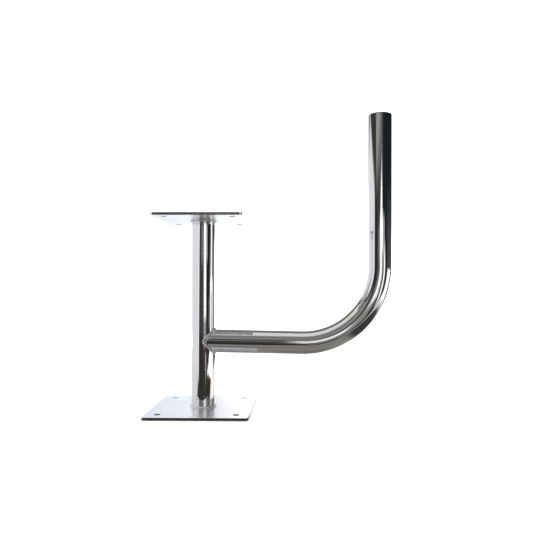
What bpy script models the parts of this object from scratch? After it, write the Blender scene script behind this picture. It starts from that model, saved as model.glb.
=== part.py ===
"""Flag pole stand: a welded holder of polished stainless tube and plate.

A square base plate carries a round post, and the post carries a smaller square top plate.
A bent tube, coped to the post, runs out level, turns up and ends as the open socket that a
flag pole drops into. Units are metres and +Z is up. The origin is the centre of the base
plate's underside, on the post's axis, and +X points along the arm.
"""

import math

import bmesh
import bpy
from mathutils import Matrix, Vector

# Tube stock, from which both the post and the arm are cut
TUBE_OD = 0.0424
TUBE_WALL = 0.002

# Base plate
BASE_SIDE = 0.180
BASE_THICK = 0.005
BASE_HOLE_INSET = 0.0225  # hole centre to the plate's nearest edges

# Top plate
TOP_SIDE = 0.158
TOP_THICK = 0.005
TOP_HOLE_INSET = 0.0195

# Both plates
CORNER_RADIUS = 0.005
HOLE_DIAMETER = 0.011
EDGE_BREAK = 0.0004  # chamfer that takes the sharpness off a cut edge

# Stand
HEIGHT_OVER_PLATES = 0.350  # base plate's underside to top plate's upper face
ARM_HEIGHT = 0.125  # arm's axis where it crosses the post's axis
ARM_FALL = math.radians(1.0)  # how far the arm dips below level towards the socket
ARM_REACH = 0.323  # post's axis to socket's axis
ARM_BEND_RADIUS = 0.140  # centreline of the bend, 3.3 tube diameters
SOCKET_TOP = 0.538  # socket's rim above the base plate's underside

# Welds
FILLET_LEG = 0.0028  # along the plate and up the tube
FILLET_CROWN = 0.0004  # how far the fillet's face bulges past a straight line
BEAD_RADIUS = 0.0028  # bead round the arm's coped end
BEAD_TIP_ROUND = 0.0036  # how softly the bead turns where the two tubes are tangent

CLEARANCE = 0.0003  # between the surfaces of touching pieces

# Facets
ROUND_SEGMENTS = 48  # round a tube
BEND_STEPS = 24
CORNER_SEGMENTS = 6
HOLE_SEGMENTS = 24
FILLET_SEGMENTS = 4
BEAD_STATIONS = 64
BEAD_SEGMENTS = 8

TUBE_RADIUS = TUBE_OD / 2
BORE_RADIUS = TUBE_RADIUS - TUBE_WALL
TOP_UNDERSIDE = HEIGHT_OVER_PLATES - TOP_THICK

POLISHED_STEEL = (0.80, 0.81, 0.83, 1.0)
WELD_STEEL = (0.62, 0.62, 0.63, 1.0)


def clear_scene():
    """Removes what the startup file holds."""
    for obj in list(bpy.data.objects):
        bpy.data.objects.remove(obj, do_unlink=True)


def steel(name, colour, roughness):
    """A Principled BSDF metal."""
    material = bpy.data.materials.new(name)
    material.use_nodes = True
    shader = material.node_tree.nodes["Principled BSDF"]
    shader.inputs["Base Color"].default_value = colour
    shader.inputs["Metallic"].default_value = 1.0
    shader.inputs["Roughness"].default_value = roughness
    material.diffuse_color = colour
    return material


def add_object(name, bm, material=None):
    """Turns a bmesh into a smooth-shaded object of this name at the origin."""
    mesh = bpy.data.meshes.new(name)
    bm.to_mesh(mesh)
    bm.free()
    mesh.shade_smooth()
    mesh.set_sharp_from_angle(angle=math.radians(35))
    obj = bpy.data.objects.new(name, mesh)
    bpy.context.scene.collection.objects.link(obj)
    if material:
        mesh.materials.append(material)
    return obj


def make_cutter(obj):
    """Marks an object as a helper that takes material away."""
    obj.hide_render = True
    obj.display_type = "WIRE"
    return obj


def cut(obj, cutter):
    """Subtracts a cutter from an object."""
    modifier = obj.modifiers.new("cut_" + cutter.name, "BOOLEAN")
    modifier.operation = "DIFFERENCE"
    modifier.solver = "EXACT"
    modifier.object = cutter


def turned_ring(name, profile, material):
    """Turns a closed profile about +Z. Its (radius, height) points run down the outer side."""
    bm = bmesh.new()
    points = [bm.verts.new((radius, 0.0, height)) for radius, height in profile]
    for first, second in zip(points, points[1:] + points[:1]):
        bm.edges.new((first, second))
    ring = add_object(name, bm, material)
    screw = ring.modifiers.new("turn", "SCREW")
    screw.axis = "Z"
    screw.steps = screw.render_steps = ROUND_SEGMENTS
    screw.use_merge_vertices = True
    screw.merge_threshold = 0.00001
    return ring


def hole_cutter(name, inset, side, bottom, thickness):
    """Four bolt-hole cylinders at a plate's corners, past both of its faces."""
    bm = bmesh.new()
    offset = side / 2 - inset
    for x in (-offset, offset):
        for y in (-offset, offset):
            bmesh.ops.create_cone(
                bm,
                cap_ends=True,
                segments=HOLE_SEGMENTS,
                radius1=HOLE_DIAMETER / 2,
                radius2=HOLE_DIAMETER / 2,
                depth=3 * thickness,
                matrix=Matrix.Translation((x, y, bottom + thickness / 2)),
            )
    return make_cutter(add_object(name, bm))


def square_plate(name, side, thickness, bottom, inset, material):
    """A plate with rounded corners, broken edges and a bolt hole near each corner."""
    bm = bmesh.new()
    bmesh.ops.create_cube(bm, size=1.0)
    bmesh.ops.scale(bm, vec=(side, side, thickness), verts=bm.verts)
    bmesh.ops.translate(bm, vec=(0.0, 0.0, bottom + thickness / 2), verts=bm.verts)
    upright = [e for e in bm.edges if abs(e.verts[0].co.z - e.verts[1].co.z) > thickness / 2]
    bmesh.ops.bevel(
        bm,
        geom=upright,
        offset=CORNER_RADIUS,
        offset_type="OFFSET",
        segments=CORNER_SEGMENTS,
        profile=0.5,
        affect="EDGES",
    )
    plate = add_object(name, bm, material)
    edge_break = plate.modifiers.new("edge_break", "BEVEL")
    edge_break.width = EDGE_BREAK
    edge_break.segments = 1
    edge_break.limit_method = "ANGLE"
    edge_break.angle_limit = math.radians(60)
    cut(plate, hole_cutter(name + "_holes", inset, side, bottom, thickness))
    return plate


def post_tube(material):
    """The upright tube between the plates, open at both ends until it is welded."""
    low, high = BASE_THICK + CLEARANCE, TOP_UNDERSIDE - CLEARANCE
    profile = [(TUBE_RADIUS, high), (TUBE_RADIUS, low), (BORE_RADIUS, low), (BORE_RADIUS, high)]
    return turned_ring("post_tube", profile, material)


def fillet_ring(name, plate_face, away, material):
    """A fillet weld between the post and a plate's face; away is +1 above it and -1 below."""
    inner = TUBE_RADIUS + CLEARANCE
    seat = plate_face + away * CLEARANCE
    face = []
    for step in range(FILLET_SEGMENTS + 1):
        share = step / FILLET_SEGMENTS
        bulge = FILLET_CROWN * math.sin(math.pi * share) / math.sqrt(2)
        out = share * FILLET_LEG + bulge
        rise = (1 - share) * FILLET_LEG + bulge
        face.append((inner + out, seat + away * rise))
    if away < 0:
        face.reverse()
    return turned_ring(name, face + [(inner, seat)], material)


def arm_frame():
    """The arm's axis direction, the upward normal across it, and where its bend is centred."""
    along = Vector((math.cos(ARM_FALL), 0.0, -math.sin(ARM_FALL)))
    up = Vector((math.sin(ARM_FALL), 0.0, math.cos(ARM_FALL)))
    turn_side = ARM_REACH - ARM_BEND_RADIUS
    straight = (turn_side - ARM_BEND_RADIUS * math.sin(ARM_FALL)) / math.cos(ARM_FALL)
    centre = Vector((0.0, 0.0, ARM_HEIGHT)) + straight * along + ARM_BEND_RADIUS * up
    return along, up, straight, centre


def tube_section(bm, centre, up):
    """A flat ring of faces across the arm: the tube's cut end."""
    loops = []
    for radius in (TUBE_RADIUS, BORE_RADIUS):
        points = []
        for step in range(ROUND_SEGMENTS):
            angle = 2 * math.pi * step / ROUND_SEGMENTS
            offset = radius * (math.cos(angle) * up + math.sin(angle) * Vector((0.0, 1.0, 0.0)))
            points.append(bm.verts.new(centre + offset))
        loops.append(points)
    outer, bore = loops
    for here in range(ROUND_SEGMENTS):
        after = (here + 1) % ROUND_SEGMENTS
        bm.faces.new((outer[here], bore[here], bore[after], outer[after]))
    return bm.verts[:] + bm.edges[:] + bm.faces[:]


def extruded(bm, section, shift):
    """Pulls a section along by a vector, and returns the section at the far end."""
    far_end = bmesh.ops.extrude_face_region(bm, geom=section)["geom"]
    points = [item for item in far_end if isinstance(item, bmesh.types.BMVert)]
    bmesh.ops.translate(bm, vec=shift, verts=points)
    return far_end


def cope_cutter():
    """The post's outside with the clearance, which shapes the arm's inner end."""
    bm = bmesh.new()
    bmesh.ops.create_cone(
        bm,
        cap_ends=True,
        segments=ROUND_SEGMENTS,
        radius1=TUBE_RADIUS + CLEARANCE,
        radius2=TUBE_RADIUS + CLEARANCE,
        depth=2 * TUBE_OD,
        matrix=Matrix.Translation((0.0, 0.0, ARM_HEIGHT)),
    )
    return make_cutter(add_object("arm_cope", bm))


def flag_arm(material):
    """The bent tube: out from the post, round the bend and up to the socket's rim."""
    along, up, straight, centre = arm_frame()
    bm = bmesh.new()
    section = tube_section(bm, Vector((0.0, 0.0, ARM_HEIGHT)), up)
    section = extruded(bm, section, straight * along)
    section = bmesh.ops.spin(
        bm,
        geom=section,
        cent=centre,
        axis=(0.0, -1.0, 0.0),
        angle=math.pi / 2 + ARM_FALL,
        steps=BEND_STEPS,
    )["geom_last"]
    extruded(bm, section, Vector((0.0, 0.0, SOCKET_TOP - centre.z)))
    bmesh.ops.recalc_face_normals(bm, faces=bm.faces)
    arm = add_object("flag_arm", bm, material)
    cut(arm, cope_cutter())
    return arm


def saddle_point(angle):
    """Where the arm's outside meets the post's, at this angle round the arm from its crown.

    Both surfaces stand off by the clearance. The post's is widened a little more, which
    rounds the curve where the two tubes are tangent.
    """
    along, up, _, _ = arm_frame()
    radius = TUBE_RADIUS + CLEARANCE
    side = radius * math.sin(angle)
    rise = radius * math.cos(angle)
    reach = math.sqrt(radius**2 + BEAD_TIP_ROUND**2 - side**2)
    distance = (reach - rise * up.x) / along.x
    return Vector((0.0, side, ARM_HEIGHT)) + distance * along + rise * up


def turned_towards(vector, side):
    """A unit vector along this line, on the same side as the other vector."""
    return vector.normalized() * math.copysign(1.0, vector.dot(side))


def saddle_section(angle):
    """The bead's section at this angle: a sector between the arm's and the post's surfaces."""
    along, up, _, _ = arm_frame()
    step = math.pi / BEAD_STATIONS
    corner = saddle_point(angle)
    path = saddle_point(angle + step) - saddle_point(angle - step)
    arm_normal = math.cos(angle) * up + math.sin(angle) * Vector((0.0, 1.0, 0.0))
    post_normal = Vector((corner.x, corner.y, 0.0))
    on_arm = turned_towards(path.cross(arm_normal), along)
    on_post = turned_towards(path.cross(post_normal), arm_normal - along)
    spread = math.atan2(on_post.dot(arm_normal), on_post.dot(on_arm))
    section = [corner]
    for part in range(BEAD_SEGMENTS + 1):
        turn = spread * part / BEAD_SEGMENTS
        section.append(corner + BEAD_RADIUS * (math.cos(turn) * on_arm + math.sin(turn) * arm_normal))
    return section


def saddle_bead(material):
    """The weld round the arm's coped end, swept once round the saddle curve."""
    bm = bmesh.new()
    rings = []
    for station in range(BEAD_STATIONS):
        angle = 2 * math.pi * station / BEAD_STATIONS
        rings.append([bm.verts.new(point) for point in saddle_section(angle)])
    for here, after in zip(rings, rings[1:] + rings[:1]):
        for low in range(len(here)):
            high = (low + 1) % len(here)
            bm.faces.new((here[low], here[high], after[high], after[low]))
    bmesh.ops.recalc_face_normals(bm, faces=bm.faces)
    return add_object("arm_weld", bm, material)


def build():
    clear_scene()
    square_plate(
        "base_plate",
        BASE_SIDE,
        BASE_THICK,
        0.0,
        BASE_HOLE_INSET,
        steel("base_plate_steel", POLISHED_STEEL, 0.10),
    )
    square_plate(
        "top_plate",
        TOP_SIDE,
        TOP_THICK,
        TOP_UNDERSIDE,
        TOP_HOLE_INSET,
        steel("top_plate_steel", POLISHED_STEEL, 0.10),
    )
    post_tube(steel("post_steel", POLISHED_STEEL, 0.05))
    flag_arm(steel("arm_steel", POLISHED_STEEL, 0.05))
    fillet_ring("base_weld", BASE_THICK, 1, steel("base_weld_steel", WELD_STEEL, 0.25))
    fillet_ring("top_weld", TOP_UNDERSIDE, -1, steel("top_weld_steel", WELD_STEEL, 0.25))
    saddle_bead(steel("arm_weld_steel", WELD_STEEL, 0.25))


build()
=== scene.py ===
"""Looks of a welded, polished steel flag pole stand, built around its CAD frame.

Every piece is a surface worked out from a few sizes, in metres, in the frame's own axes:
+Z runs up the post, +X from the post towards the socket, and z = 0 is the floor.
"""

import math

import bpy
import numpy as np
from bpy.props import FloatProperty, FloatVectorProperty, PointerProperty
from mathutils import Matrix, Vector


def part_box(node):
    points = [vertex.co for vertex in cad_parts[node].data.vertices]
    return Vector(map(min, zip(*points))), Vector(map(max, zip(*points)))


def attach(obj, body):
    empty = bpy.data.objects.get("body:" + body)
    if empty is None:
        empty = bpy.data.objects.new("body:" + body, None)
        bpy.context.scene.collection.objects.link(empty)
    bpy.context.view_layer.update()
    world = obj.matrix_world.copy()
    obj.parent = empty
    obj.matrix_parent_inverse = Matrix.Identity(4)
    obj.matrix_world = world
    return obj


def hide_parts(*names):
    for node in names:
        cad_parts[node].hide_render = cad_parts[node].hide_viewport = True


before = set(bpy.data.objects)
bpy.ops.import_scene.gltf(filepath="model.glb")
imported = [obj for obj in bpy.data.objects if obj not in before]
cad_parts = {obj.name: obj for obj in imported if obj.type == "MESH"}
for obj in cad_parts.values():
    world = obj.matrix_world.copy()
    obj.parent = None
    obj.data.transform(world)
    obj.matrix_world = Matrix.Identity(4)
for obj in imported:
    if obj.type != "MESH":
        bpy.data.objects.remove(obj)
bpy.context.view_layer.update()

bl_info = {
    "name": "Flag pole stand",
    "version": (1, 0, 0),
    "blender": (4, 5, 0),
    "location": "View3D > Sidebar > Flag stand",
    "description": "Builds a welded, polished steel flag pole stand and its studio",
    "category": "Object",
}

X_AXIS, Y_AXIS, Z_AXIS = np.eye(3)

POST_BOX = [np.array(corner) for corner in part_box("post_tube")]
ARM_BOX = [np.array(corner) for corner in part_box("flag_arm")]
BASE_BOX = [np.array(corner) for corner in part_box("base_plate")]
TOP_BOX = [np.array(corner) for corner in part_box("top_plate")]

# Fineness of the surfaces
ROUND_STEPS = 160  # points round a tube
BEND_STEPS = 112
EDGE_STEPS = 5  # points round a softened edge
RIPPLE_POINTS = 9  # points along one weld ripple
BEAD_STEPS = 14  # points across a weld bead

SUPPORT = 0.0006  # width of the strip that keeps a flat face flat beside a rounded edge
SIDE_SUPPORT = 0.0005  # the same on a plate's upright sides
SADDLE_GAP = 0.0002  # how far the arm's saddle cut stays off the post
ROOT_DEPTH = 0.0003  # how far a fillet weld's hidden root sinks into plate and tube
TOE_LAP = 0.0004  # how far a fillet weld's toe turns under
BEAD_ROOT = 0.0008  # depth of the arm weld's hidden root
BEAD_DIP = math.radians(13)  # how far the arm weld's two sides turn down into the tubes
BEAD_RIPPLES = 92  # ripples once round the arm
WALL_STEPS = 32  # points up the post's wall
SEAM_STEPS, SIDE_STEPS, TURN_STEPS = 14, 18, 17  # points on a quarter plate's outline
ON_FACE = 0.0001  # how near a plate's two faces a point counts as on them
FACE_SHARES = (0.3, 0.5, 0.7)  # where a plate's face is divided from hole to outline

# Camera
CAMERA_PLACE = (0.1674, -0.9567, 0.2225)
CAMERA_TURN = (90.0, -0.11, 0.78)  # degrees
CAMERA_SHIFT = (-0.0396, 0.0396)
SENSOR_WIDTH = 36.0

# Studio
FLOOR_SIZE = 4.0
FLOOR_DROP = 0.0004  # keeps the floor just clear of the stand
ROOM_RADIUS = 5.0
ROOM_COLOUR, ROOM_STRENGTH = (0.66, 0.80, 1.0, 1.0), 0.022


# ---------------------------------------------------------------- surfaces


def grid_corners(rows, columns, wrap_rows, wrap_columns):
    """Row and column of each quad's four corners on a grid, counted past the end where it wraps."""
    row, column = np.meshgrid(
        np.arange(rows if wrap_rows else rows - 1),
        np.arange(columns if wrap_columns else columns - 1),
        indexing="ij",
    )
    corner_rows = np.stack([row, row + 1, row + 1, row], -1).reshape(-1, 4)
    corner_columns = np.stack([column, column, column + 1, column + 1], -1).reshape(-1, 4)
    return corner_rows, corner_columns


def put_in_mesh(name, points, faces, material):
    """A smooth-shaded object at the origin that holds these points and faces."""
    mesh = bpy.data.meshes.new(name)
    mesh.from_pydata(points.tolist(), [], faces.tolist())
    mesh.shade_smooth()
    mesh.materials.append(material)
    mesh.validate()
    obj = bpy.data.objects.new(name, mesh)
    bpy.context.scene.collection.objects.link(obj)
    return obj


def put_grid(name, points, material, along=None, around=None, wrap_rows=True, flip=False):
    """Turns a grid of points, wrapped round its columns, into an object.

    Where the length along each row and the length round each column are given, they become the
    UV map in metres, U round the piece and V along it.
    """
    rows, columns = points.shape[:2]
    corner_rows, corner_columns = grid_corners(rows, columns, wrap_rows, True)
    if flip:
        corner_rows, corner_columns = corner_rows[:, ::-1], corner_columns[:, ::-1]
    faces = (corner_rows % rows) * columns + corner_columns % columns
    obj = put_in_mesh(name, points.reshape(-1, 3), faces, material)
    if along is not None:
        layer = obj.data.uv_layers.new(name="along_the_piece")
        lengths = np.stack([around[corner_columns], along[corner_rows]], -1)
        layer.data.foreach_set("uv", lengths.astype(np.float32).ravel())
    return obj


def put_attribute(obj, name, values):
    """Keeps one number for each point of the piece, for its material to read."""
    attribute = obj.data.attributes.new(name, "FLOAT", "POINT")
    attribute.data.foreach_set("value", values.astype(np.float32).ravel())


def finish_piece(obj, slot, *nodes):
    """Rides on the stand's one body and stands for these CAD nodes."""
    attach(obj, "root")
    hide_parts(*nodes)


def edge_arc(centre_out, centre_up, radius, start, end):
    """A quarter round in a section: centre plus radius times (sine, cosine) of a turning angle."""
    turn = np.radians(np.linspace(start, end, EDGE_STEPS))
    return np.stack([centre_out + radius * np.sin(turn), centre_up + radius * np.cos(turn)], -1)


def slow_waves(turns, seed, count, top):
    """A smooth closed wobble between about -1 and 1: a sum of this many sine waves, each with a
    whole number of turns below the top one."""
    draw = np.random.default_rng(seed)
    orders = draw.integers(2, top, count)[:, None]
    phases = draw.uniform(0, 2 * math.pi, count)[:, None]
    sizes = draw.uniform(0.5, 1.0, count)[:, None]
    waves = sizes * np.sin(orders * turns.ravel()[None, :] + phases)
    return (waves.sum(0) / np.sqrt((sizes**2).sum())).reshape(turns.shape)


def path_lengths(points):
    """Running length along a line of points."""
    steps = np.linalg.norm(np.diff(points, axis=0), axis=1)
    return np.concatenate([[0.0], np.cumsum(steps)])


# ---------------------------------------------------------------- tubes


def tube_grid(centres, normals, radii):
    """A tube round a path: centre plus radius times (cosine normal plus sine +Y), for each angle.

    The path's points, its normals and the radius at each point are arrays of the same length.
    """
    angle = np.linspace(0, 2 * math.pi, ROUND_STEPS, endpoint=False)
    ring = np.cos(angle)[None, :, None] * normals[:, None, :]
    ring = ring + np.sin(angle)[None, :, None] * Y_AXIS
    return centres[:, None, :] + radii[:, None, None] * ring


def post_surface(sizes):
    """The post: a wall profile turned about +Z, with softened edges at its two cut ends."""
    low, high = POST_BOX[0][2], POST_BOX[1][2]
    outer = sizes.tube_diameter / 2
    inner = outer - sizes.tube_wall
    edge = sizes.tube_edge
    wall = np.linspace(low + edge + SUPPORT, high - edge - SUPPORT, WALL_STEPS)
    profile = np.concatenate(
        [
            edge_arc(outer - edge, low + edge, edge, 180, 90),
            np.stack([np.full(WALL_STEPS, outer), wall], -1),
            edge_arc(outer - edge, high - edge, edge, 90, 0),
            edge_arc(inner + edge, high - edge, edge, 0, -90),
            np.stack([np.full(WALL_STEPS, inner), wall[::-1]], -1),
            edge_arc(inner + edge, low + edge, edge, -90, -180),
        ]
    )
    centres = np.zeros((len(profile), 3))
    centres[:, 2] = profile[:, 1]
    normals = np.tile(-X_AXIS, (len(profile), 1))
    points = tube_grid(centres, normals, profile[:, 0])
    along = np.append(path_lengths(profile), path_lengths(profile)[-1] + 0.001)
    around = np.linspace(0, 2 * math.pi * outer, ROUND_STEPS + 1)
    return points, along, around


def arm_line(sizes):
    """The arm's directions: along it, up across it, its straight length and its bend's centre."""
    fall = sizes.arm_fall
    along = np.array([math.cos(fall), 0.0, -math.sin(fall)])
    up = np.array([math.sin(fall), 0.0, math.cos(fall)])
    reach = ARM_BOX[1][0] - sizes.tube_diameter / 2
    bend = sizes.bend_radius
    straight = (reach - bend - bend * math.sin(fall)) / math.cos(fall)
    centre = np.array([0.0, 0.0, sizes.arm_height]) + straight * along + bend * up
    return along, up, straight, centre


def saddle_distance(angle, radius, post_radius, along, up):
    """How far along the arm's axis a tube of this radius meets the post, at each angle round it."""
    side, rise = radius * np.sin(angle), radius * np.cos(angle)
    reach = np.sqrt(np.maximum(post_radius**2 - side**2, 0.0))
    return (reach - rise * up[0]) / along[0]


def arm_walls(sizes, radius, straight_steps, bend_steps, upright_steps, top):
    """One wall of the arm as a grid: from the saddle cut on the post, along the level run, round
    the bend and up to this height. Round the bend the axis is the bend's centre plus its radius
    times (sine along minus cosine up), and the section turns with it."""
    along, up, straight, centre = arm_line(sizes)
    bend = sizes.bend_radius
    angle = np.linspace(0, 2 * math.pi, ROUND_STEPS, endpoint=False)
    post_radius = sizes.tube_diameter / 2 + SADDLE_GAP
    start = saddle_distance(angle, radius, post_radius, along, up)
    share = np.linspace(0, 1, straight_steps, endpoint=False)[:, None]
    reach = start[None, :] * (1 - share) + straight * share
    ring = np.cos(angle)[None, :, None] * up + np.sin(angle)[None, :, None] * Y_AXIS
    root = np.array([0.0, 0.0, sizes.arm_height])
    level = root + reach[:, :, None] * along + radius * ring
    turn = np.linspace(0, math.pi / 2 + sizes.arm_fall, bend_steps)[:, None]
    bend_centres = centre + bend * (np.sin(turn) * along - np.cos(turn) * up)
    bend_normals = np.cos(turn) * up - np.sin(turn) * along
    curved = tube_grid(bend_centres, bend_normals, np.full(bend_steps, radius))
    heights = np.linspace(centre[2], top, upright_steps + 1)[1:]
    upright_centres = np.stack(
        [np.full(upright_steps, bend_centres[-1, 0]), np.zeros(upright_steps), heights], -1
    )
    upright_normals = np.tile(-X_AXIS, (upright_steps, 1))
    upright = tube_grid(upright_centres, upright_normals, np.full(upright_steps, radius))
    lengths = np.concatenate(
        [
            straight * share[:, 0],
            straight + bend * turn[:, 0],
            straight + bend * turn[-1, 0] + heights - centre[2],
        ]
    )
    return np.concatenate([level, curved, upright]), lengths


def arm_surface(sizes):
    """The arm: its outer wall, the softened rim of the socket, its bore with the seam that the
    tube mill leaves, and the saddle cut that closes it against the post."""
    outer = sizes.tube_diameter / 2
    inner = outer - sizes.tube_wall
    edge = sizes.tube_edge
    top = ARM_BOX[1][2]
    outside, out_lengths = arm_walls(sizes, outer, 26, BEND_STEPS, 36, top - edge - SUPPORT)
    inside, _ = arm_walls(sizes, inner, 14, 56, 24, top - edge - SUPPORT)
    rim = np.concatenate(
        [
            edge_arc(outer - edge, top - edge, edge, 90, 0),
            edge_arc(inner + edge, top - edge, edge, 0, -90),
        ]
    )
    axis_x = outside[-1, :, 0].mean()
    centres = np.stack([np.full(len(rim), axis_x), np.zeros(len(rim)), rim[:, 1]], -1)
    rim_grid = tube_grid(centres, np.tile(-X_AXIS, (len(rim), 1)), rim[:, 0])
    angle = np.linspace(0, 2 * math.pi, ROUND_STEPS, endpoint=False)
    points = np.concatenate([outside, rim_grid, inside[::-1]])
    rows = len(points)
    along = np.concatenate(
        [
            out_lengths,
            out_lengths[-1] + 0.0003 * np.arange(1, len(rim) + 1),
            out_lengths[-1] + 0.004 + 0.005 * np.arange(len(inside) + 1),
        ]
    )
    bore = np.zeros((rows, ROUND_STEPS))
    bore[len(outside) + EDGE_STEPS :] = 1.0
    around = outer * np.append(angle, 2 * math.pi)
    return points, along, around, bore


# ---------------------------------------------------------------- plates


def quarter_outline(half, hole, radius, edge):
    """One quarter of a square plate's face, walked once round as seen from its bolt hole.

    It goes from the plate's centre along +X, up the plate's edge, round the corner, and back.
    Points on straight sides sit at even angles from the hole: distance times the tangent.
    """
    side = half - edge
    bend = half - radius
    out = side - hole

    def tangents(first, last, count):
        return np.tan(np.linspace(math.atan(first), math.atan(last), count, endpoint=False))

    seam_x = hole + hole * tangents(-1.0, out / hole, SEAM_STEPS)
    seam = np.stack([seam_x, np.zeros(SEAM_STEPS)], -1)
    edge_y = hole + out * tangents(-hole / out, (bend - hole) / out, SIDE_STEPS)
    right = np.stack([np.full(SIDE_STEPS, side), edge_y], -1)
    turn = np.linspace(0, math.pi / 2, TURN_STEPS)
    arc = bend + (radius - edge) * np.stack([np.cos(turn), np.sin(turn)], -1)
    far = right[::-1, ::-1]
    back = seam[:0:-1, ::-1]
    outline = np.concatenate([seam, right, arc, far, back])
    normals = np.concatenate(
        [
            np.tile([1.0, 0.0], (SIDE_STEPS, 1)),
            np.stack([np.cos(turn), np.sin(turn)], -1),
            np.tile([0.0, 1.0], (SIDE_STEPS, 1)),
        ]
    )
    first = len(seam)
    return outline, normals, slice(first, first + len(normals))


def plate_surface(half, low, high, hole, hole_radius, corner, edge):
    """A square plate in four mirrored quarters.

    In each quarter, the face is the straight blend from the hole's rim to the outline, at each
    angle round the hole. Its hole and its outer side are upright walls with quarter-round edges.
    """
    outline, normals, outer_part = quarter_outline(half, hole, corner, edge)
    spoke = outline - hole
    length = np.linalg.norm(spoke, axis=1, keepdims=True)
    spoke = spoke / length
    start = hole_radius + edge
    run = length[:, 0] - start
    share = np.array(FACE_SHARES)
    stops = np.concatenate(
        [
            np.zeros((len(run), 1)),
            np.full((len(run), 1), SUPPORT),
            run[:, None] * share,
            run[:, None] - SUPPORT,
            run[:, None],
        ],
        axis=1,
    )[:, ::-1]
    flat = hole + spoke[:, None, :] * (start + stops)[:, :, None]
    top_face = np.concatenate([flat, np.full(flat.shape[:2] + (1,), high)], -1)
    bottom_face = top_face[:, ::-1].copy()
    bottom_face[:, :, 2] = low
    upper_side, lower_side = high - edge - SIDE_SUPPORT, low + edge + SIDE_SUPPORT
    wall = np.concatenate(
        [
            edge_arc(start, high - edge, -edge, 180, 90)[1:],
            [[hole_radius, upper_side], [hole_radius, lower_side]],
            edge_arc(start, low + edge, -edge, 90, 0)[:-1],
        ]
    )
    wall_flat = hole + spoke[:, None, :] * wall[None, :, :1]
    wall_up = np.broadcast_to(wall[None, :, 1:], wall_flat.shape[:2] + (1,))
    hole_wall = np.concatenate([wall_flat, wall_up], -1)
    inner = np.concatenate([top_face, hole_wall, bottom_face], axis=1)

    band = np.concatenate(
        [
            edge_arc(0.0, high - edge, edge, 0, 90),
            [[edge, upper_side], [edge, lower_side]],
            edge_arc(0.0, low + edge, edge, 90, 180),
        ]
    )
    rim = outline[outer_part]
    band_flat = rim[:, None, :] + normals[:, None, :] * band[None, :, :1]
    band_up = np.broadcast_to(band[None, :, 1:], band_flat.shape[:2] + (1,))
    outer = np.concatenate([band_flat, band_up], -1)

    quarter_points, quarter_faces, offset = [], [], 0
    for grid, wrap in ((inner, True), (outer, False)):
        rows, columns = grid.shape[:2]
        corner_rows, corner_columns = grid_corners(rows, columns, wrap, False)
        faces = (corner_rows % rows) * columns + corner_columns + offset
        quarter_points.append(grid.reshape(-1, 3))
        quarter_faces.append(faces if wrap else faces[:, ::-1])
        offset += rows * columns
    points = np.concatenate(quarter_points)
    faces = np.concatenate(quarter_faces)
    all_points, all_faces = [], []
    for number, (sign_x, sign_y) in enumerate(((1, 1), (-1, 1), (-1, -1), (1, -1))):
        all_points.append(points * (sign_x, sign_y, 1))
        turned = faces if sign_x * sign_y > 0 else faces[:, ::-1]
        all_faces.append(turned + number * len(points))
    points, faces = np.concatenate(all_points), np.concatenate(all_faces)
    _, first, merged = np.unique(
        np.round(points * 1e6).astype(np.int64), axis=0, return_index=True, return_inverse=True
    )
    return points[first], merged.reshape(-1)[faces]


# ---------------------------------------------------------------- welds


def ripple(running, across, seed, pitch):
    """Height of the frozen ripples of a weld, between 0 and 1, at a running length in metres and
    a share across the bead. Each ripple is a crescent that trails in the middle, rises slowly and
    drops fast, and no two are quite as long."""
    turns = running / running.max() * 2 * math.pi
    wander = 0.9 * slow_waves(turns, seed, 6, 23)
    trail = 1.15 * np.sin(math.pi * across)
    phase = running / pitch + wander + trail
    cycle = phase - np.floor(phase)
    rise = np.clip(cycle / 0.72, 0, 1)
    drop = np.clip((1 - cycle) / 0.28, 0, 1)
    return np.minimum(rise, drop) ** 0.8


def fillet_surface(sizes, face, away, seed):
    """The weld between the post and a plate, as a rippled ring.

    Its section's toe is on the plate and its top on the tube, and the face between them is a
    straight line pushed out by a sine crown and by the ripples.
    """
    tube = sizes.tube_diameter / 2
    leg = sizes.weld_leg
    mean = tube + leg / 2
    ripples = int(2 * math.pi * mean / sizes.ripple_pitch)
    count = ripples * RIPPLE_POINTS
    theta = np.linspace(0, 2 * math.pi, count, endpoint=False)[:, None]
    across = np.linspace(0, 1, BEAD_STEPS)[None, :]
    running = (theta + 0 * across) * mean
    height = ripple(running, across + 0 * theta, seed, 2 * math.pi * mean / ripples)
    fade = np.sin(math.pi * across) ** 0.6
    out_leg = leg * (1 + 0.07 * slow_waves(theta, seed + 1, 7, 31))
    up_leg = leg * (1 + 0.07 * slow_waves(theta, seed + 2, 7, 31))
    bulge = sizes.weld_crown * np.sin(math.pi * across) + sizes.ripple_height * height * fade
    bulge = bulge / math.sqrt(2)
    out = tube + (1 - across) * out_leg + bulge
    rise = across * up_leg + bulge
    inside = np.full((count, 2), tube - ROOT_DEPTH)
    toe = np.concatenate([out[:, :1] - TOE_LAP, out, inside], axis=1)
    root = np.full((count, 1), -ROOT_DEPTH)
    lift = np.concatenate([root, rise, rise[:, -1:], root], axis=1)
    z = face + away * lift
    points = np.stack([toe * np.cos(theta), toe * np.sin(theta), z + 0 * theta], -1)
    along = np.append(theta[:, 0], 2 * math.pi) * mean
    around = np.linspace(0, 0.016, points.shape[1] + 1)
    return points, along, around


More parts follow.
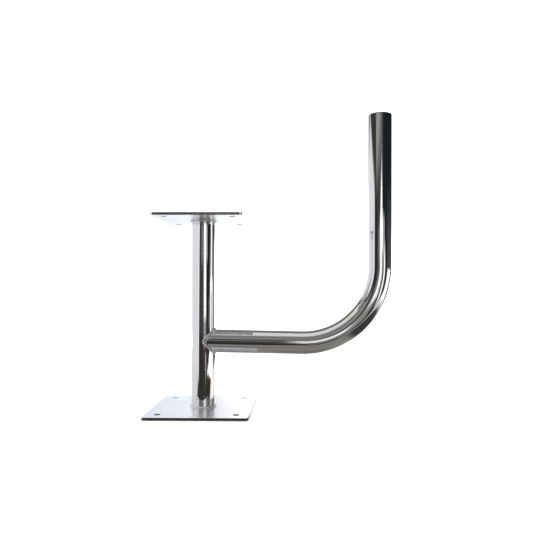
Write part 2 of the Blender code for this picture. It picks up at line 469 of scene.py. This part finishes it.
def saddle_surface(sizes, seed):
    """The weld round the arm's saddle cut, swept once round where the two tubes meet.

    At each angle the section is a sector of a circle between the arm's surface and the post's,
    and its radius carries the ripples.
    """
    along, up, _, _ = arm_line(sizes)
    radius = sizes.tube_diameter / 2 + SADDLE_GAP
    tip = sizes.bead_tip

    def corner(angle):
        side, rise = radius * np.sin(angle), radius * np.cos(angle)
        reach = np.sqrt(radius**2 + tip**2 - side**2)
        distance = (reach - rise * up[0]) / along[0]
        return (
            np.array([0.0, 0.0, sizes.arm_height])
            + side[:, None] * Y_AXIS
            + distance[:, None] * along
            + rise[:, None] * up
        )

    count = BEAD_RIPPLES * RIPPLE_POINTS
    angle = np.linspace(0, 2 * math.pi, count, endpoint=False)
    centre = corner(angle)
    step = 0.02
    path = corner(angle + step) - corner(angle - step)
    path = path / np.linalg.norm(path, axis=1, keepdims=True)
    arm_normal = np.cos(angle)[:, None] * up + np.sin(angle)[:, None] * Y_AXIS
    post_normal = centre * (1, 1, 0)
    on_arm = np.cross(path, arm_normal)
    on_arm *= np.sign(on_arm @ along)[:, None]
    on_arm /= np.linalg.norm(on_arm, axis=1, keepdims=True)
    on_post = np.cross(path, post_normal)
    on_post *= np.sign(np.sum(on_post * (arm_normal - along), axis=1))[:, None]
    on_post /= np.linalg.norm(on_post, axis=1, keepdims=True)
    spread = np.arctan2(np.sum(on_post * arm_normal, 1), np.sum(on_post * on_arm, 1))
    running = path_lengths(centre)
    total = running[-1] + np.linalg.norm(centre[0] - centre[-1])
    across = np.linspace(0, 1, BEAD_STEPS)[None, :]
    turn = -BEAD_DIP + (spread[:, None] + 2 * BEAD_DIP) * across
    grown = running[:, None] + 0 * across
    height = ripple(grown, across + 0 * grown, seed, total / BEAD_RIPPLES)
    wobble = 1 + 0.06 * slow_waves(angle[:, None], seed + 1, 7, 27)
    reach = sizes.bead_radius * wobble + sizes.ripple_height * height * np.sin(math.pi * across)
    face = (
        centre[:, None, :]
        + (reach * np.cos(turn))[:, :, None] * on_arm[:, None, :]
        + (reach * np.sin(turn))[:, :, None] * arm_normal[:, None, :]
    )
    middle = spread / 2
    inward = np.cos(middle)[:, None] * on_arm + np.sin(middle)[:, None] * arm_normal
    root = centre - BEAD_ROOT * inward
    points = np.concatenate([root[:, None, :], face], axis=1)
    along_bead = np.append(running, total)
    around = np.linspace(0, 0.010, points.shape[1] + 1)
    return points, along_bead, around


# ---------------------------------------------------------------- finishes


def add_node(tree, kind, settings, inputs):
    """A shader node with these settings. An input takes a value, or a link from another node."""
    made = tree.nodes.new(kind)
    for key, value in settings.items():
        setattr(made, key, value)
    for key, value in inputs.items():
        socket = made.inputs[key]
        if isinstance(value, bpy.types.NodeSocket):
            tree.links.new(value, socket)
        else:
            socket.default_value = value
    return made


def new_steel(name, colour):
    """A metal material to which the finishes below add their detail."""
    material = bpy.data.materials.new(name)
    material.use_nodes = True
    material.diffuse_color = (*colour, 1.0)
    tree = material.node_tree
    shader = tree.nodes["Principled BSDF"]
    shader.inputs["Metallic"].default_value = 1.0
    shader.inputs["Base Color"].default_value = (*colour, 1.0)
    return material, tree, shader


def stretched(tree, source, scale):
    """Pattern coordinates, closer together by this much along each axis."""
    return add_node(tree, "ShaderNodeMapping", {}, {"Vector": source, "Scale": scale}).outputs[0]


def noise(tree, vector, scale, detail=2.0, roughness=0.5):
    """Smooth random variation between 0 and 1."""
    inputs = {"Vector": vector, "Scale": scale, "Detail": detail, "Roughness": roughness}
    return add_node(tree, "ShaderNodeTexNoise", {}, inputs).outputs["Fac"]


def ranged(tree, value, low, high, to_low, to_high):
    """A value moved from one range to another, and kept inside it."""
    inputs = {0: value, 1: low, 2: high, 3: to_low, 4: to_high}
    return add_node(tree, "ShaderNodeMapRange", {"clamp": True}, inputs).outputs[0]


def combined(tree, operation, first, second):
    """Arithmetic on two values."""
    node = add_node(tree, "ShaderNodeMath", {"operation": operation}, {0: first, 1: second})
    return node.outputs[0]


def tinted(tree, share, first, second):
    """A blend of two colours."""
    node = add_node(
        tree, "ShaderNodeMix", {"data_type": "RGBA"}, {"Factor": share, 6: first, 7: second}
    )
    return node.outputs[2]


def bumped(tree, height, distance, normal=None):
    """A surface normal tilted by a height pattern."""
    inputs = {"Height": height, "Distance": distance, "Strength": 1.0}
    if normal is not None:
        inputs["Normal"] = normal
    return add_node(tree, "ShaderNodeBump", {}, inputs).outputs[0]


def seam_dots(tree, metres, seam):
    """The polished-over weld seam of the tube: a thin line of small dots along it, 1 in each."""
    parts = add_node(tree, "ShaderNodeSeparateXYZ", {}, {0: metres}).outputs
    away = combined(tree, "ABSOLUTE", combined(tree, "SUBTRACT", parts[0], seam), 0.0)
    band = ranged(tree, away, 0.0002, 0.0010, 1.0, 0.0)
    beat = combined(tree, "SINE", combined(tree, "MULTIPLY", parts[1], 2 * math.pi / 0.0034), 0.0)
    dots = ranged(tree, beat, 0.0, 0.8, 0.0, 1.0)
    strays = ranged(tree, noise(tree, metres, 210.0, 2.0), 0.42, 0.6, 0.15, 1.0)
    return combined(tree, "MULTIPLY", combined(tree, "MULTIPLY", band, dots), strays)


def tube_finish(name, colour, seam, has_bore):
    """Mirror-polished tube: slow waviness, drawn lines along the tube, its seam on one side
    and faint smears. The seam's place is a length round the tube."""
    material, tree, shader = new_steel(name, colour)
    metres = add_node(tree, "ShaderNodeTexCoord", {}, {}).outputs["UV"]
    waviness = noise(tree, stretched(tree, metres, (1.0, 0.12, 1.0)), 85.0, 1.0)
    drawn = noise(tree, stretched(tree, metres, (1.0, 0.012, 1.0)), 480.0, 3.0, 0.6)
    buffing = noise(tree, stretched(tree, metres, (0.02, 1.0, 1.0)), 2600.0, 2.0)
    smears = noise(tree, stretched(tree, metres, (1.0, 0.3, 1.0)), 38.0, 4.0, 0.6)
    dots = seam_dots(tree, metres, seam)
    rough = ranged(tree, smears, 0.35, 0.75, 0.035, 0.075)
    rough = combined(tree, "ADD", rough, combined(tree, "MULTIPLY", dots, 0.12))
    shade = tinted(tree, smears, (*colour, 1.0), tuple(0.95 * c for c in colour) + (1.0,))
    if has_bore:
        bore = add_node(tree, "ShaderNodeAttribute", {"attribute_name": "bore"}, {}).outputs["Fac"]
        grain = noise(tree, stretched(tree, metres, (1.0, 0.03, 1.0)), 3000.0, 3.0)
        rough_bore = ranged(tree, grain, 0.3, 0.7, 0.24, 0.42)
        rough = add_node(
            tree, "ShaderNodeMix", {"data_type": "FLOAT"}, {"Factor": bore, 2: rough, 3: rough_bore}
        ).outputs[0]
        shade = tinted(tree, bore, shade, (0.46, 0.455, 0.45, 1.0))
    tree.links.new(rough, shader.inputs["Roughness"])
    tree.links.new(shade, shader.inputs["Base Color"])
    normal = bumped(tree, waviness, 0.00004)
    normal = bumped(tree, drawn, 0.000012, normal)
    normal = bumped(tree, buffing, 0.0000006, normal)
    normal = bumped(tree, dots, 0.00006, normal)
    tree.links.new(normal, shader.inputs["Normal"])
    return material


def plate_finish(name, colour):
    """Bright rolled plate: satin faces with fine rolling lines and soft unevenness, and smoother,
    brighter cut sides. The piece's own face attribute is 1 on its two faces."""
    material, tree, shader = new_steel(name, colour)
    place = add_node(tree, "ShaderNodeTexCoord", {}, {}).outputs["Object"]
    clouds = noise(tree, place, 22.0, 4.0, 0.55)
    rolling = noise(tree, stretched(tree, place, (0.03, 1.0, 1.0)), 1900.0, 3.0)
    specks = noise(tree, place, 900.0, 2.0)
    rough = ranged(tree, clouds, 0.3, 0.7, 0.31, 0.35)
    rough = combined(tree, "ADD", rough, ranged(tree, specks, 0.6, 0.85, 0.0, 0.03))
    flat = add_node(tree, "ShaderNodeAttribute", {"attribute_name": "face"}, {}).outputs["Fac"]
    rough = add_node(
        tree, "ShaderNodeMix", {"data_type": "FLOAT"}, {"Factor": flat, 2: 0.16, 3: rough}
    ).outputs[0]
    tree.links.new(rough, shader.inputs["Roughness"])
    tree.links.new(ranged(tree, flat, 0.0, 1.0, 1.0, 0.92), shader.inputs["Metallic"])
    shade = tinted(tree, clouds, (*colour, 1.0), tuple(0.96 * c for c in colour) + (1.0,))
    tree.links.new(shade, shader.inputs["Base Color"])
    normal = bumped(tree, noise(tree, place, 45.0, 1.0), 0.000006)
    normal = bumped(tree, rolling, 0.000001, normal)
    tree.links.new(normal, shader.inputs["Normal"])
    return material


def weld_finish(name, colour):
    """Cleaned weld metal: mottled, a little rough, with straw and blue heat tints in patches."""
    material, tree, shader = new_steel(name, colour)
    place = add_node(tree, "ShaderNodeTexCoord", {}, {}).outputs["Object"]
    mottle = noise(tree, place, 420.0, 4.0, 0.65)
    patches = noise(tree, place, 95.0, 2.0)
    shade = tinted(tree, ranged(tree, mottle, 0.35, 0.65, 0.0, 1.0), (*colour, 1.0),
                   (0.92, 0.91, 0.90, 1.0))
    shade = tinted(tree, ranged(tree, patches, 0.58, 0.74, 0.0, 0.35), shade,
                   (0.66, 0.55, 0.42, 1.0))
    shade = tinted(tree, ranged(tree, patches, 0.42, 0.28, 0.0, 0.30), shade,
                   (0.50, 0.54, 0.62, 1.0))
    tree.links.new(shade, shader.inputs["Base Color"])
    tree.links.new(ranged(tree, mottle, 0.3, 0.7, 0.08, 0.22), shader.inputs["Roughness"])
    normal = bumped(tree, noise(tree, place, 520.0, 3.0, 0.6), 0.0004)
    tree.links.new(normal, shader.inputs["Normal"])
    return material


# ---------------------------------------------------------------- studio


def studio_surface(name, points, material, seen_by_camera):
    """A floor or reflector of the studio, which isn't part of the stand."""
    faces = np.array([[0, 1, 2, 3]])
    obj = put_in_mesh(name, points, faces, material)
    layer = obj.data.uv_layers.new(name="share")
    layer.data.foreach_set("uv", np.array([0, 0, 1, 0, 1, 1, 0, 1], np.float32))
    obj.visible_camera = seen_by_camera
    obj.visible_diffuse = seen_by_camera
    obj.visible_glossy = not seen_by_camera
    obj.visible_shadow = False
    return obj


def glow(name, colour, strength, fades):
    """Even light from a reflector's front that fades out over these shares of its start, end,
    lower and upper sides. A pair of strengths is for a glossy floor, which shines less straight
    on and more at a slant."""
    material = bpy.data.materials.new(name)
    material.use_nodes = True
    material.cycles.emission_sampling = "NONE"
    tree = material.node_tree
    tree.nodes.clear()
    share = add_node(tree, "ShaderNodeTexCoord", {}, {}).outputs["UV"]
    parts = add_node(tree, "ShaderNodeSeparateXYZ", {}, {0: share})
    mask = None
    for number, fade in enumerate(fades):
        if not fade:
            continue
        value = parts.outputs[number // 2]
        edges = {1: 0.0, 2: fade} if number % 2 == 0 else {1: 1.0, 2: 1.0 - fade}
        soft = add_node(
            tree,
            "ShaderNodeMapRange",
            {"interpolation_type": "SMOOTHSTEP"},
            {0: value, **edges, 3: 0.0, 4: 1.0},
        ).outputs[0]
        mask = soft if mask is None else combined(tree, "MULTIPLY", mask, soft)
    if isinstance(strength, tuple):
        slant = add_node(tree, "ShaderNodeLayerWeight", {}, {"Blend": 0.5}).outputs["Facing"]
        strength = ranged(tree, slant, 0.52, 0.68, *strength)
    light = add_node(
        tree, "ShaderNodeEmission", {}, {"Color": (*colour, 1.0), "Strength": strength}
    )
    clear = add_node(tree, "ShaderNodeBsdfTransparent", {}, {})
    back = add_node(tree, "ShaderNodeNewGeometry", {}, {}).outputs["Backfacing"]
    front = combined(tree, "SUBTRACT", 1.0, back)
    mask = front if mask is None else combined(tree, "MULTIPLY", mask, front)
    mix = add_node(
        tree, "ShaderNodeMixShader", {}, {0: mask, 1: clear.outputs[0], 2: light.outputs[0]}
    )
    add_node(tree, "ShaderNodeOutputMaterial", {}, {"Surface": mix.outputs[0]})
    return material


def reflector(name, corners, colour, strength, fades):
    """A flat reflector whose corners go round it: both ends of its lower side, then both ends of
    its upper side, walked back. It shines on the side from which they turn to the left."""
    points = np.array(corners, float)
    studio_surface(name, points, glow(name, colour, strength, fades), False)


def upright(start, end, low, high):
    """Corners of an upright rectangle between two points of the floor plan."""
    return (*start, low), (*end, low), (*end, high), (*start, high)


def level(low_corner, high_corner, height):
    """Corners of a level rectangle between two points of the floor plan."""
    (x0, y0), (x1, y1) = low_corner, high_corner
    return (x0, y0, height), (x1, y0, height), (x1, y1, height), (x0, y1, height)


WHITE = (1.0, 1.0, 1.0)
WARM = (1.0, 0.96, 0.90)

# Reflectors: name, corners, colour, strength, and the shares over which their start, end, lower
# and upper sides fade out. Where they overlap, the nearer one covers the farther.
REFLECTORS = (
    # behind the stand
    ("back_left", ((-1.9, 1.30, -0.01), (-0.25, 1.30, -0.01), (-0.25, 1.30, 0.90),
     (-1.9, 1.30, 1.46)), (0.88, 0.94, 1.0), 1.12, (0.01, 0.0, 0.001, 0.20)),
    ("back_middle", upright((-0.50, 1.29), (0.48, 1.29), -0.01, 0.70), WHITE, 2.05,
     (0.6, 0.1, 0.001, 0.15)),
    ("back_right", upright((0.40, 1.28), (1.5, 1.28), -0.01, 0.56), WHITE, 1.3,
     (0.05, 0.1, 0.001, 0.3)),
    ("back_upper", upright((-1.9, 1.40), (1.6, 1.40), 0.50, 2.6), (1.0, 0.97, 0.93), 0.26,
     (0.01, 0.01, 0.03, 0.1)),
    # at its sides
    ("right_wall", upright((1.1, 0.40), (1.1, -0.32), -0.01, 0.28), WHITE, 1.4,
     (0.12, 0.12, 0.001, 0.15)),
    ("left_wall", ((-0.335, -0.372, -0.01), (-1.3, 1.30, -0.01), (-1.3, 1.30, 1.32),
     (-0.335, -0.372, 0.60)), (0.98, 0.97, 1.0), 0.93, (0.002, 0.01, 0.001, 0.22)),
    ("left_strip", ((-0.170, -0.245, -0.01), (-0.335, -0.372, -0.01), (-0.335, -0.372, 0.60),
     (-0.128, -0.268, 0.56)), WHITE, 1.12, (0.12, 0.02, 0.001, 0.2)),
    ("right_dim", upright((1.12, 0.9), (1.12, -0.5), -0.01, 0.62), (0.92, 0.92, 1.0), 0.080,
     (0.05, 0.2, 0.001, 0.45)),
    ("left_dim", upright((-1.45, -1.5), (-1.45, 1.4), -0.01, 2.6), (1.0, 0.98, 0.97), 0.045,
     (0.01, 0.01, 0.001, 0.1)),
    ("side_card", ((0.16, 0.021, 0.205), (0.16, -0.039, 0.205), (0.16, -0.021, 0.50),
     (0.16, 0.032, 0.50)), (1.0, 0.97, 0.93), 1.3, (0.2, 0.15, 0.05, 0.1)),
    ("left_upper", upright((-0.60, -0.55), (-0.90, 0.60), 0.95, 1.9), WARM, 0.90,
     (0.1, 0.1, 0.12, 0.1)),
    # in front
    ("window", upright((0.74, -1.01), (0.11, -1.01), 0.080, 0.52), WHITE, 1.3,
     (0.10, 0.24, 0.10, 0.14)),
    ("window_low", upright((0.74, -1.015), (0.11, -1.015), -0.01, 0.16), WHITE, 0.33,
     (0.10, 0.24, 0.001, 0.1)),
    ("window_tip", ((0.64, -1.0, 0.40), (0.17, -1.0, 0.40), (0.35, -1.0, 0.76),
     (0.51, -1.0, 0.76)), WHITE, 1.9, (0.25, 0.30, 0.18, 0.55)),
    ("window_side", upright((1.22, -1.03), (0.70, -1.02), 0.32, 0.54), (1.0, 0.97, 0.95), 0.42,
     (0.3, 0.05, 0.2, 0.25)),
    ("near_card", upright((0.412, -0.10), (0.370, -0.10), 0.13, 0.33), (1.0, 0.99, 0.96), 1.3,
     (0.2, 0.15, 0.3, 0.3)),
    ("slat", upright((0.385, -0.15), (0.347, -0.15), 0.19, 0.315), WARM, 0.30,
     (0.3, 0.3, 0.05, 0.25)),
    ("bend_shade", upright((0.36, -0.15), (0.255, -0.15), 0.120, 0.205), WARM, 0.30,
     (0.2, 0.2, 0.15, 0.15)),
    ("front_card", upright((0.15, -1.44), (-0.36, -1.44), 0.30, 0.53), (1.0, 0.97, 0.95), 0.22,
     (0.2, 0.2, 0.25, 0.2)),
    ("front_upper", upright((1.1, -1.46), (-1.5, -1.46), 0.64, 1.5), (1.0, 0.98, 0.97), 0.40,
     (0.64, 0.2, 0.49, 0.05)),
    ("front_low", upright((0.3, -1.5), (-0.9, -1.5), -0.01, 1.4), (1.0, 0.95, 0.97), 0.060,
     (0.1, 0.01, 0.001, 0.1)),
    # above
    ("overhead", level((-0.8, 0.50), (1.4, -0.62), 1.15), (1.0, 0.99, 0.96), 0.84,
     (0.05, 0.05, 0.30, 0.27)),
    ("front_ceiling", level((-1.2, -0.33), (1.4, -1.5), 1.16), (1.0, 0.94, 0.88), 0.235,
     (0.01, 0.01, 0.01, 0.01)),
    # below
    ("floor_dark", level((-2.5, -2.5), (2.5, 2.5), -0.0050), (1.0, 0.90, 0.83), 0.038,
     (0.0, 0.0, 0.0, 0.0)),
    ("floor_left", ((-0.90, -1.15, -0.0040), (-0.05, -0.064, -0.0040), (-0.05, 2.0, -0.0040),
     (-2.4, 2.0, -0.0040)), (0.99, 0.99, 1.0), (0.42, 0.85), (0.01, 0.03, 0.06, 0.01)),
    ("floor_right", level((0.28, -0.38), (1.3, 0.38), -0.0030), (1.0, 0.99, 0.98), (0.05, 1.4),
     (0.1, 0.01, 0.12, 0.12)),
    ("floor_behind", level((-0.10, -0.04), (0.40, 0.7), -0.0020), WARM, (0.34, 1.4),
     (0.1, 0.12, 0.06, 0.2)),
    ("floor_front", level((-0.10, -0.27), (0.40, -0.01), -0.0010), WARM, (0.27, 0.04),
     (0.1, 0.15, 0.22, 0.1)),
    ("floor_line", level((-0.10, -0.128), (0.30, -0.092), -0.00095), (1.0, 0.80, 0.76),
     (0.16, 0.04), (0.02, 0.1, 0.3, 0.3)),
    ("floor_streak", ((0.092, -0.120, -0.0009), (0.062, -0.138, -0.0009),
     (0.40, -0.80, -0.0009), (0.54, -0.72, -0.0009)), WARM, 0.52, (0.2, 0.2, 0.7, 0.1)),
    ("floor_shade", level((-0.05, -0.06), (0.36, 0.05), -0.0008), (1.0, 0.97, 0.93), (0.26, 0.9),
     (0.2, 0.2, 0.35, 0.35)),
    ("floor_beside", level((0.095, -0.045), (0.30, 0.08), -0.0007), WARM, (0.20, 1.2),
     (0.3, 0.3, 0.2, 0.1)),
    ("floor_far", level((-1.6, 0.70), (0.9, 1.27), -0.0007), (0.94, 0.97, 1.0), (0.8, 1.9),
     (0.1, 0.1, 0.2, 0.01)),
    ("floor_gap", ((0.093, 0.038, -0.00055), (1.11, 0.45, -0.00055), (0.983, 0.689, -0.00055),
     (0.082, 0.058, -0.00055)), (1.0, 0.86, 0.76), 0.36, (0.01, 0.1, 0.2, 0.2)),
    ("floor_gleam", level((0.31, 0.14), (0.42, 0.30), -0.0006), (1.0, 0.99, 0.97), 1.4,
     (0.3, 0.3, 0.3, 0.3)),
)


def studio(context, stage):
    """Floor, reflectors, light and camera."""
    white = bpy.data.materials.new("pale_floor")
    white.use_nodes = True
    shader = white.node_tree.nodes["Principled BSDF"]
    shader.inputs["Base Color"].default_value = (*stage.floor_colour, 1.0)
    shader.inputs["Roughness"].default_value = 0.9
    shader.inputs["Specular IOR Level"].default_value = 0.0
    square = level((-FLOOR_SIZE, -FLOOR_SIZE), (FLOOR_SIZE, FLOOR_SIZE), -FLOOR_DROP)
    studio_surface("floor", np.array(square), white, True)

    for settings in REFLECTORS:
        reflector(*settings)

    room = bpy.data.materials.new("dark_room")
    room.use_nodes = True
    room.cycles.emission_sampling = "NONE"
    room.node_tree.nodes.clear()
    light = add_node(
        room.node_tree,
        "ShaderNodeEmission",
        {},
        {"Color": ROOM_COLOUR, "Strength": ROOM_STRENGTH},
    )
    add_node(room.node_tree, "ShaderNodeOutputMaterial", {}, {"Surface": light.outputs[0]})
    turn = np.linspace(0, 2 * math.pi, 48, endpoint=False)[None, :]
    rise = np.linspace(-math.pi / 2 + 0.02, math.pi / 2 - 0.02, 24)[:, None]
    shell = ROOM_RADIUS * np.stack(
        [np.cos(rise) * np.cos(turn), np.cos(rise) * np.sin(turn), np.sin(rise) + 0 * turn], -1
    )
    dome = put_grid("room", shell, room, wrap_rows=False)
    dome.visible_camera = dome.visible_diffuse = dome.visible_shadow = False

    world = bpy.data.worlds.new("white_studio")
    world.use_nodes = True
    background = world.node_tree.nodes["Background"]
    background.inputs["Color"].default_value = (1.0, 1.0, 1.0, 1.0)
    background.inputs["Strength"].default_value = stage.light_strength
    world.cycles_visibility.glossy = False
    context.scene.world = world

    camera_data = bpy.data.cameras.new("camera")
    camera_data.lens = stage.lens
    camera_data.sensor_width = SENSOR_WIDTH
    camera_data.shift_x, camera_data.shift_y = CAMERA_SHIFT
    camera_data.dof.use_dof = False
    camera = bpy.data.objects.new("camera", camera_data)
    camera.location = CAMERA_PLACE
    camera.rotation_euler = tuple(np.radians(CAMERA_TURN))
    context.scene.collection.objects.link(camera)
    context.scene.camera = camera
    context.scene.view_settings.view_transform = "Standard"
    context.scene.view_settings.look = "None"


# ---------------------------------------------------------------- settings and operators


class StandSizes(bpy.types.PropertyGroup):
    tube_diameter: FloatProperty(
        name="Tube diameter",
        description="Outer diameter of the tube that the post and the arm are cut from",
        default=float(POST_BOX[1][0] - POST_BOX[0][0]), unit="LENGTH", subtype="DISTANCE",
    )
    tube_wall: FloatProperty(
        name="Tube wall", description="Thickness of the tube's wall",
        default=0.002, unit="LENGTH", subtype="DISTANCE",
    )
    tube_edge: FloatProperty(
        name="Tube edge", description="Radius that softens the tube's cut ends",
        default=0.0005, unit="LENGTH", subtype="DISTANCE",
    )
    arm_height: FloatProperty(
        name="Arm height", description="Height of the arm's axis at the post",
        default=0.125, unit="LENGTH", subtype="DISTANCE",
    )
    arm_fall: FloatProperty(
        name="Arm fall", description="How far the arm dips below level towards the socket",
        default=math.radians(1.0), unit="ROTATION", subtype="ANGLE",
    )
    bend_radius: FloatProperty(
        name="Bend radius", description="Radius of the bend's centreline",
        default=0.140, unit="LENGTH", subtype="DISTANCE",
    )
    post_seam: FloatProperty(
        name="Post seam", description="Length round the post, from its far side, to its seam",
        default=0.0953, unit="LENGTH", subtype="DISTANCE",
    )
    arm_seam: FloatProperty(
        name="Arm seam", description="Length round the arm, from its crown, to its seam",
        default=0.0999, unit="LENGTH", subtype="DISTANCE",
    )
    plate_corner: FloatProperty(
        name="Plate corner", description="Radius of the plates' corners",
        default=0.005, unit="LENGTH", subtype="DISTANCE",
    )
    plate_edge: FloatProperty(
        name="Plate edge", description="Radius that softens the plates' edges and holes",
        default=0.0005, unit="LENGTH", subtype="DISTANCE",
    )
    hole_diameter: FloatProperty(
        name="Bolt hole", description="Diameter of the bolt holes",
        default=0.011, unit="LENGTH", subtype="DISTANCE",
    )
    base_hole_inset: FloatProperty(
        name="Base hole inset", description="Bolt hole's centre to the base plate's edges",
        default=0.0225, unit="LENGTH", subtype="DISTANCE",
    )
    top_hole_inset: FloatProperty(
        name="Top hole inset", description="Bolt hole's centre to the top plate's edges",
        default=0.0195, unit="LENGTH", subtype="DISTANCE",
    )
    weld_leg: FloatProperty(
        name="Weld leg", description="How far a fillet weld reaches along the plate and the tube",
        default=0.0030, unit="LENGTH", subtype="DISTANCE",
    )
    weld_crown: FloatProperty(
        name="Weld crown", description="How far a fillet weld's face bulges",
        default=0.0005, unit="LENGTH", subtype="DISTANCE",
    )
    bead_radius: FloatProperty(
        name="Bead radius", description="Radius of the weld bead round the arm",
        default=0.0019, unit="LENGTH", subtype="DISTANCE",
    )
    bead_tip: FloatProperty(
        name="Bead tip", description="How softly the bead turns where the two tubes are tangent",
        default=0.0036, unit="LENGTH", subtype="DISTANCE",
    )
    ripple_pitch: FloatProperty(
        name="Ripple pitch", description="Distance between two weld ripples",
        default=0.0019, unit="LENGTH", subtype="DISTANCE",
    )
    ripple_height: FloatProperty(
        name="Ripple height", description="Height of a weld ripple",
        default=0.00045, unit="LENGTH", subtype="DISTANCE",
    )


class StandFinish(bpy.types.PropertyGroup):
    tube_colour: FloatVectorProperty(
        name="Tube colour", description="Colour of the polished tube",
        default=(0.78, 0.785, 0.79), subtype="COLOR", min=0.0, max=1.0,
    )
    plate_colour: FloatVectorProperty(
        name="Plate colour", description="Colour of the plates",
        default=(0.80, 0.815, 0.85), subtype="COLOR", min=0.0, max=1.0,
    )
    weld_colour: FloatVectorProperty(
        name="Weld colour", description="Colour of the weld metal",
        default=(0.58, 0.58, 0.59), subtype="COLOR", min=0.0, max=1.0,
    )


class StandStage(bpy.types.PropertyGroup):
    floor_colour: FloatVectorProperty(
        name="Floor colour", description="Colour of the floor",
        default=(0.88, 0.88, 0.88), subtype="COLOR", min=0.0, max=1.0,
    )
    light_strength: FloatProperty(
        name="Light strength", description="Strength of the white light all round",
        default=1.7,
    )
    lens: FloatProperty(
        name="Lens", description="Focal length of the camera on a 36 mm sensor",
        default=35.23, subtype="DISTANCE_CAMERA", unit="CAMERA",
    )


class STAND_OT_plates(bpy.types.Operator):
    """Build the base plate and the top plate with their bolt holes"""

    bl_idname = "stand.plates"
    bl_label = "Plates"

    def execute(self, context):
        sizes, finish = context.scene.stand_sizes, context.scene.stand_finish
        for name, box, inset in (
            ("base_plate", BASE_BOX, sizes.base_hole_inset),
            ("top_plate", TOP_BOX, sizes.top_hole_inset),
        ):
            half, low, high = box[1][0], box[0][2], box[1][2]
            hole, hole_radius = half - inset, sizes.hole_diameter / 2
            points, faces = plate_surface(
                half, low, high, hole, hole_radius, sizes.plate_corner, sizes.plate_edge
            )
            steel = plate_finish(name + "_steel", finish.plate_colour)
            plate = put_in_mesh("polished_" + name, points, faces, steel)
            on_face = (points[:, 2] > high - ON_FACE) | (points[:, 2] < low + ON_FACE)
            put_attribute(plate, "face", on_face)
            finish_piece(plate, "plate_steel", name)
        return {"FINISHED"}


class STAND_OT_post(bpy.types.Operator):
    """Build the upright post tube"""

    bl_idname = "stand.post"
    bl_label = "Post"

    def execute(self, context):
        sizes, finish = context.scene.stand_sizes, context.scene.stand_finish
        points, along, around = post_surface(sizes)
        steel = tube_finish("post_steel", finish.tube_colour, sizes.post_seam, False)
        post = put_grid("polished_post", points, steel, along, around)
        finish_piece(post, "tube_steel", "post_tube")
        return {"FINISHED"}


class STAND_OT_arm(bpy.types.Operator):
    """Build the bent arm and its open socket"""

    bl_idname = "stand.arm"
    bl_label = "Arm"

    def execute(self, context):
        sizes, finish = context.scene.stand_sizes, context.scene.stand_finish
        points, along, around, bore = arm_surface(sizes)
        steel = tube_finish("arm_steel", finish.tube_colour, sizes.arm_seam, True)
        arm = put_grid("polished_arm", points, steel, along, around)
        put_attribute(arm, "bore", bore)
        finish_piece(arm, "tube_steel", "flag_arm")
        return {"FINISHED"}


class STAND_OT_welds(bpy.types.Operator):
    """Build the rippled welds at both plates and round the arm"""

    bl_idname = "stand.welds"
    bl_label = "Welds"

    def execute(self, context):
        sizes, finish = context.scene.stand_sizes, context.scene.stand_finish
        steel = weld_finish("weld_steel", finish.weld_colour)
        for name, face, away, seed in (
            ("base_weld", BASE_BOX[1][2], 1, 11),
            ("top_weld", TOP_BOX[0][2], -1, 23),
        ):
            points, along, around = fillet_surface(sizes, face, away, seed)
            weld = put_grid("rippled_" + name, points, steel, along, around, flip=away < 0)
            finish_piece(weld, "weld_steel", name)
        points, along, around = saddle_surface(sizes, 37)
        weld = put_grid("rippled_arm_weld", points, steel, along, around)
        finish_piece(weld, "weld_steel", "arm_weld")
        return {"FINISHED"}


class STAND_OT_stage(bpy.types.Operator):
    """Set up the pale floor, the studio light and the camera"""

    bl_idname = "stand.stage"
    bl_label = "Stage"

    def execute(self, context):
        studio(context, context.scene.stand_stage)
        return {"FINISHED"}


class STAND_PT_panel(bpy.types.Panel):
    """Sizes, finishes and build steps of the stand"""

    bl_idname = "STAND_PT_panel"
    bl_label = "Flag pole stand"
    bl_space_type = "VIEW_3D"
    bl_region_type = "UI"
    bl_category = "Flag stand"

    def draw(self, context):
        for group in ("stand_sizes", "stand_finish", "stand_stage"):
            settings = getattr(context.scene, group)
            column = self.layout.column()
            for key in settings.__annotations__:
                column.prop(settings, key)
        for step in STEPS:
            self.layout.operator("stand." + step)


STEPS = ("plates", "post", "arm", "welds", "stage")
CLASSES = (
    StandSizes,
    StandFinish,
    StandStage,
    STAND_OT_plates,
    STAND_OT_post,
    STAND_OT_arm,
    STAND_OT_welds,
    STAND_OT_stage,
    STAND_PT_panel,
)


def register():
    for cls in CLASSES:
        bpy.utils.register_class(cls)
    bpy.types.Scene.stand_sizes = PointerProperty(type=StandSizes)
    bpy.types.Scene.stand_finish = PointerProperty(type=StandFinish)
    bpy.types.Scene.stand_stage = PointerProperty(type=StandStage)


def unregister():
    del bpy.types.Scene.stand_stage
    del bpy.types.Scene.stand_finish
    del bpy.types.Scene.stand_sizes
    for cls in reversed(CLASSES):
        bpy.utils.unregister_class(cls)


def main():
    register()
    for step in STEPS:
        getattr(bpy.ops.stand, step)()


if __name__ == "__main__":
    main()
